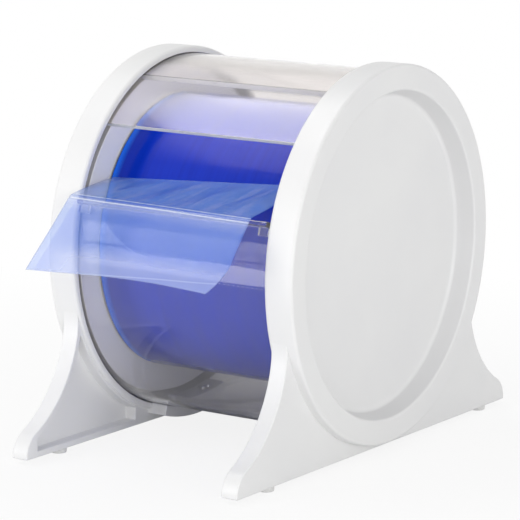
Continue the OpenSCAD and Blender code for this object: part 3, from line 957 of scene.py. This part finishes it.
def sheet_column(t):
    """Side view of one column: from the roll to the fold, round it and down the flap."""
    a = math.radians(mix(*PEEL_DEG, t))
    peel = PEEL_R * Vector((-math.cos(a), math.sin(a)))
    fold = FOLDS[0].lerp(FOLDS[1], t)
    flap = FLAPS[0].lerp(FLAPS[1], t)
    # The lower edge is torn in a shallow bow that ends in a tip
    tip = fold + flap * (0.99 - 0.045 * math.sin(math.pi * t) + 0.012 * t**40)
    before = fold - FOLD_SOFT * (fold - peel).normalized()
    after = fold + FOLD_SOFT * flap.normalized()
    flat = [peel.lerp(before, i / FLAT_ROWS) for i in range(FLAT_ROWS)]
    bend = []
    for i in range(FOLD_ROWS):
        w = i / FOLD_ROWS
        bend.append(before.lerp(fold, w).lerp(fold.lerp(after, w), w))
    return flat + bend + [after.lerp(tip, i / FLAP_ROWS) for i in range(FLAP_ROWS + 1)]


def right_edge(row):
    """Right edge of the sheet: drawn in toward the fold, bulging down the flap, torn at its corner."""
    flat = min(row / FLAT_ROWS, 1.0)
    down = max(0.0, (row - FLAT_ROWS) / (FOLD_ROWS + FLAP_ROWS))
    torn = max(0.0, (down - 0.7) / 0.3)
    ragged = 0.25 * MM * noise.noise((row * 0.45, 1.7, 0.0)) * torn
    return SHEET_HALF - 5.0 * MM * flat + 2.4 * MM * down - 6.4 * MM * torn**1.8 + ragged


def ripple(t, row):
    """Wrinkles between the roll and the lip, and a slack wave down the flap."""
    if row < FLAT_ROWS:
        s = row / FLAT_ROWS
        run = math.sin(math.pi * s)
        slant = t * 4.5 + 0.35 * s
        fine = noise.noise((t * 16 + 2.2 * s, s * 1.2, 4.0))
        return (0.5 * math.sin(2 * math.pi * slant) + 0.3 * fine) * run * MM
    rows = FOLD_ROWS + FLAP_ROWS
    s = (row - FLAT_ROWS) / rows
    return 0.9 * MM * s * noise.noise((t * 3.0, s * 1.6, 9.0))


def free_sheet():
    """The sheet, drawn column by column, with a place on its own map for every point."""
    rows = FLAT_ROWS + FOLD_ROWS + FLAP_ROWS
    bm = bmesh.new()
    plan = bm.loops.layers.uv.new(FILM_PLAN)
    grid, spots = [], {}
    for c in range(SHEET_COLUMNS + 1):
        t = c / SHEET_COLUMNS
        path = sheet_column(t)
        run = [0.0]
        for a, b in zip(path, path[1:]):
            run.append(run[-1] + (b - a).length)
        crease = run[FLAT_ROWS + FOLD_ROWS // 2]
        line = []
        for row in range(rows + 1):
            along = (path[min(row + 1, rows)] - path[max(row - 1, 0)]).normalized()
            p = path[row] - Vector((-along.y, along.x)) * ripple(t, row)
            x = mix(-SHEET_HALF, right_edge(row), t)
            line.append(bm.verts.new((x, p.x, AXIS_Z + p.y)))
            down = PLAN_SCALE * (run[row] - crease)
            spots[line[-1]] = (PLAN_MIDDLE + PLAN_SCALE * x, PLAN_FOLD + down)
        grid.append(line)
    for c in range(SHEET_COLUMNS):
        for row in range(rows):
            left, right = grid[c], grid[c + 1]
            face = bm.faces.new((left[row], right[row], right[row + 1], left[row + 1]))
            for loop in face.loops:
                loop[plan].uv = spots[loop.vert]
    ob = put("free_film_sheet", mesh_of("free_film_sheet", bm), FREE_FILM)
    wall = ob.modifiers.new("film_thickness", "SOLIDIFY")
    wall.thickness = SHEET_T
    wall.offset = 0.0
    baked(ob)
    ob.data.shade_smooth()
    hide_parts("film_sheet")
    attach(ob, "stand")


# Small pieces


def pads():
    """Round rubber pads with a soft lower edge, one under each end of the feet."""
    r, lower, stem, top = 3.6 * MM, 0.6 * MM, 1.8 * MM, PAD_H + 2.4 * MM
    outline = [(0.0, 0.0)] + corner((r - lower, lower), lower, 270, 360, 4)
    outline += [(r, PAD_H), (stem, PAD_H), (stem, top), (0.0, top)]
    one = turned_upright("one_pad", outline, 40)
    one.data.shade_smooth()
    one.data.set_sharp_from_angle(angle=math.radians(35))
    places = [((x, y, 0.0), 0.0) for x in (-PAD_X, PAD_X) for y in PAD_Y]
    ob = scatter_tree("pads_under_feet", places).grow("rubber_pads", Shape=one, Finish=RUBBER)
    bpy.data.objects.remove(one)
    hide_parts("pad_front_left", "pad_front_right", "pad_rear_left", "pad_rear_right")
    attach(ob, "stand")


def screws():
    """Pan head screws with a cross recess, from inside the drum into the left saddle."""
    head_r, head_h, shank_r, shank = 2.6 * MM, 1.6 * MM, 1.4 * MM, 5.5 * MM
    outline = [(0.0, -shank), (shank_r - 0.3 * MM, -shank), (shank_r, 0.6 * MM - shank), (shank_r, 0.0)]
    outline.append((head_r, 0.0))
    for deg in range(0, 90, 15):
        a = math.radians(deg)
        outline.append((head_r * math.cos(a), head_h * (0.35 + 0.65 * math.sin(a))))
    outline.append((0.0, head_h))
    one = turned_upright("one_screw", outline, 32)
    cross_bm = bmesh.new()
    for size in ((2.6, 0.6), (0.6, 2.6)):
        block = bmesh.ops.create_cube(cross_bm, size=1.0)["verts"]
        bmesh.ops.scale(cross_bm, vec=(size[0] * MM, size[1] * MM, 2.0 * MM), verts=block)
        bmesh.ops.translate(cross_bm, vec=(0, 0, head_h + 0.2 * MM), verts=block)
    cross = bpy.data.meshes.new("cross")
    cross_bm.to_mesh(cross)
    cross_bm.free()
    joined(one, put("cross", cross), "DIFFERENCE")
    one.data.shade_smooth()
    one.data.set_sharp_from_angle(angle=math.radians(30))
    # The heads sit on the inside of the shell and look at the axis
    seat = math.sqrt(TUBE_R[0] ** 2 - head_r**2)
    places = []
    for deg in (-90 - SCREW_DEG, SCREW_DEG - 90):
        p = drum_point(seat, deg, SCREW_X)
        places.append((tuple(p), math.radians(-(deg + 90))))
    ob = scatter_tree("screws_in_saddle", places).grow("saddle_screws", Shape=one, Finish=STEEL)
    bpy.data.objects.remove(one)
    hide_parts("shell_screws")
    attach(ob, "stand")


def plain_nodes():
    """Inner pieces that keep their solids and take a finish."""
    for node, finish in (
        ("roll_core", CARD),
        ("left_core_hub", HUB),
        ("right_core_hub", HUB),
        ("axle_rod", AXLE),
        ("left_washer", WASHER),
        ("right_washer", WASHER),
    ):
        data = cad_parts[node].data
        data.materials.clear()
        data.materials.append(finish)


# Studio


def camera():
    yaw, pitch, roll = CAMERA_YAW, CAMERA_PITCH, CAMERA_ROLL
    level = math.cos(pitch)
    look = Vector((-math.sin(yaw) * level, math.cos(yaw) * level, -math.sin(pitch)))
    right = Vector((math.cos(yaw), math.sin(yaw), 0))
    up = right.cross(look)
    side = math.cos(roll) * right + math.sin(roll) * up
    above = math.cos(roll) * up - math.sin(roll) * right
    data = bpy.data.cameras.new("photo_camera")
    data.sensor_width = SENSOR_MM
    data.lens = SENSOR_MM * FOCAL_PIXELS / PICTURE_PIXELS
    data.clip_start, data.clip_end = 0.05, 60
    ob = bpy.data.objects.new("photo_camera", data)
    turn = Matrix((side, above, -look)).transposed().to_4x4()
    ob.matrix_world = Matrix.Translation(CAMERA_PLACE) @ turn
    scene.collection.objects.link(ob)
    scene.camera = ob


def lamp(name, place, target, size, radiance):
    """A softbox of even brightness, which the camera does not see."""
    data = bpy.data.lights.new(name, "AREA")
    data.shape = "RECTANGLE"
    data.size, data.size_y = size
    data.energy = radiance * math.pi * size[0] * size[1]
    ob = bpy.data.objects.new(name, data)
    ob.location = place
    ob.rotation_mode = "QUATERNION"
    ob.rotation_quaternion = (Vector(target) - Vector(place)).to_track_quat("-Z", "Y")
    ob.visible_camera = False
    ob.visible_transmission = False
    scene.collection.objects.link(ob)
    return ob


def pale_floor():
    """A wide floor that the camera sees turn white away from the object, with the shadow kept near it."""
    bm = bmesh.new()
    bmesh.ops.create_circle(bm, cap_ends=True, segments=96, radius=9.0)
    floor = put("floor", mesh_of("floor", bm))
    f = Finish("pale_floor", (0.95, 0.95, 0.95), 0.8, Specular_IOR_Level=0.1)
    body = f.blended(f.cloud(f.coords, 3.0), (0.945, 0.945, 0.945), (0.955, 0.955, 0.955))
    f.drive("Base Color", body)
    white = f.node("ShaderNodeEmission")
    path = f.node("ShaderNodeLightPath")
    away = f.node("ShaderNodeVectorMath", operation="LENGTH")
    f.link(f.coords, away.inputs[0])
    far = f.ranged(away.outputs["Value"], 0.12, 0.42, 0.0, 1.0)
    share = f.math("MULTIPLY", f.ranged(far, 0.0, 1.0, 0.86, 1.0), path.outputs["Is Camera Ray"])
    for other in ("Is Glossy Ray", "Is Transmission Ray"):
        share = f.math("MAXIMUM", share, f.math("MULTIPLY", far, path.outputs[other]))
    seen_floor = f.node("ShaderNodeMixShader")
    f.link(share, seen_floor.inputs[0])
    f.link(f.shader.outputs[0], seen_floor.inputs[1])
    f.link(white.outputs[0], seen_floor.inputs[2])
    f.link(seen_floor.outputs[0], f.output.inputs["Surface"])
    floor.data.materials.append(f.material)


def white_surround():
    """A world that is white where it is seen, and dimmer as a light."""
    world = bpy.data.worlds.new("studio")
    scene.world = world
    world.use_nodes = True
    tree = world.node_tree
    sky = tree.nodes["Background"]
    path = tree.nodes.new("ShaderNodeLightPath")
    seen = path.outputs["Is Camera Ray"]
    for other in ("Is Glossy Ray", "Is Transmission Ray"):
        either = tree.nodes.new("ShaderNodeMath")
        either.operation = "MAXIMUM"
        tree.links.new(seen, either.inputs[0])
        tree.links.new(path.outputs[other], either.inputs[1])
        seen = either.outputs[0]
    level = tree.nodes.new("ShaderNodeMapRange")
    level.inputs["To Min"].default_value = 0.5
    level.inputs["To Max"].default_value = 1.0
    tree.links.new(seen, level.inputs["Value"])
    tree.links.new(level.outputs[0], sky.inputs["Strength"])
    sky.inputs["Color"].default_value = (1, 1, 1, 1)


def softboxes():
    middle = (0.0, 0.0, 0.09)
    top = lamp("top_softbox", (-0.49, -0.09, 1.08), (-0.49, -0.09, 0.0), (0.38, 0.72), 3.2)
    lamp("right_softbox", (1.58, -0.95, 0.42), middle, (1.2, 0.8), 3.4)
    lamp("left_softbox", (-0.7, -1.65, 0.6), middle, (1.0, 0.9), 1.95)
    lamp("front_softbox", (0.6, -1.58, 0.2), middle, (1.2, 0.36), 1.3)
    low = lamp("low_softbox", (-0.9, -1.42, 0.16), middle, (0.8, 0.3), 3.0)
    # A card on the floor in front, which shows only in what is glossy
    card = lamp("floor_card", (-0.38, -0.7, 0.012), (-0.38, -0.7, 1.0), (0.56, 0.8), 2.7)
    card.visible_diffuse = False
    for ob in (top, low, card):
        ob.visible_transmission = True


scene.view_settings.view_transform = "Standard"
camera()
both_frames()
drum()
lip()
film_roll()
free_sheet()
pads()
screws()
plain_nodes()
pale_floor()
white_surround()
softboxes()
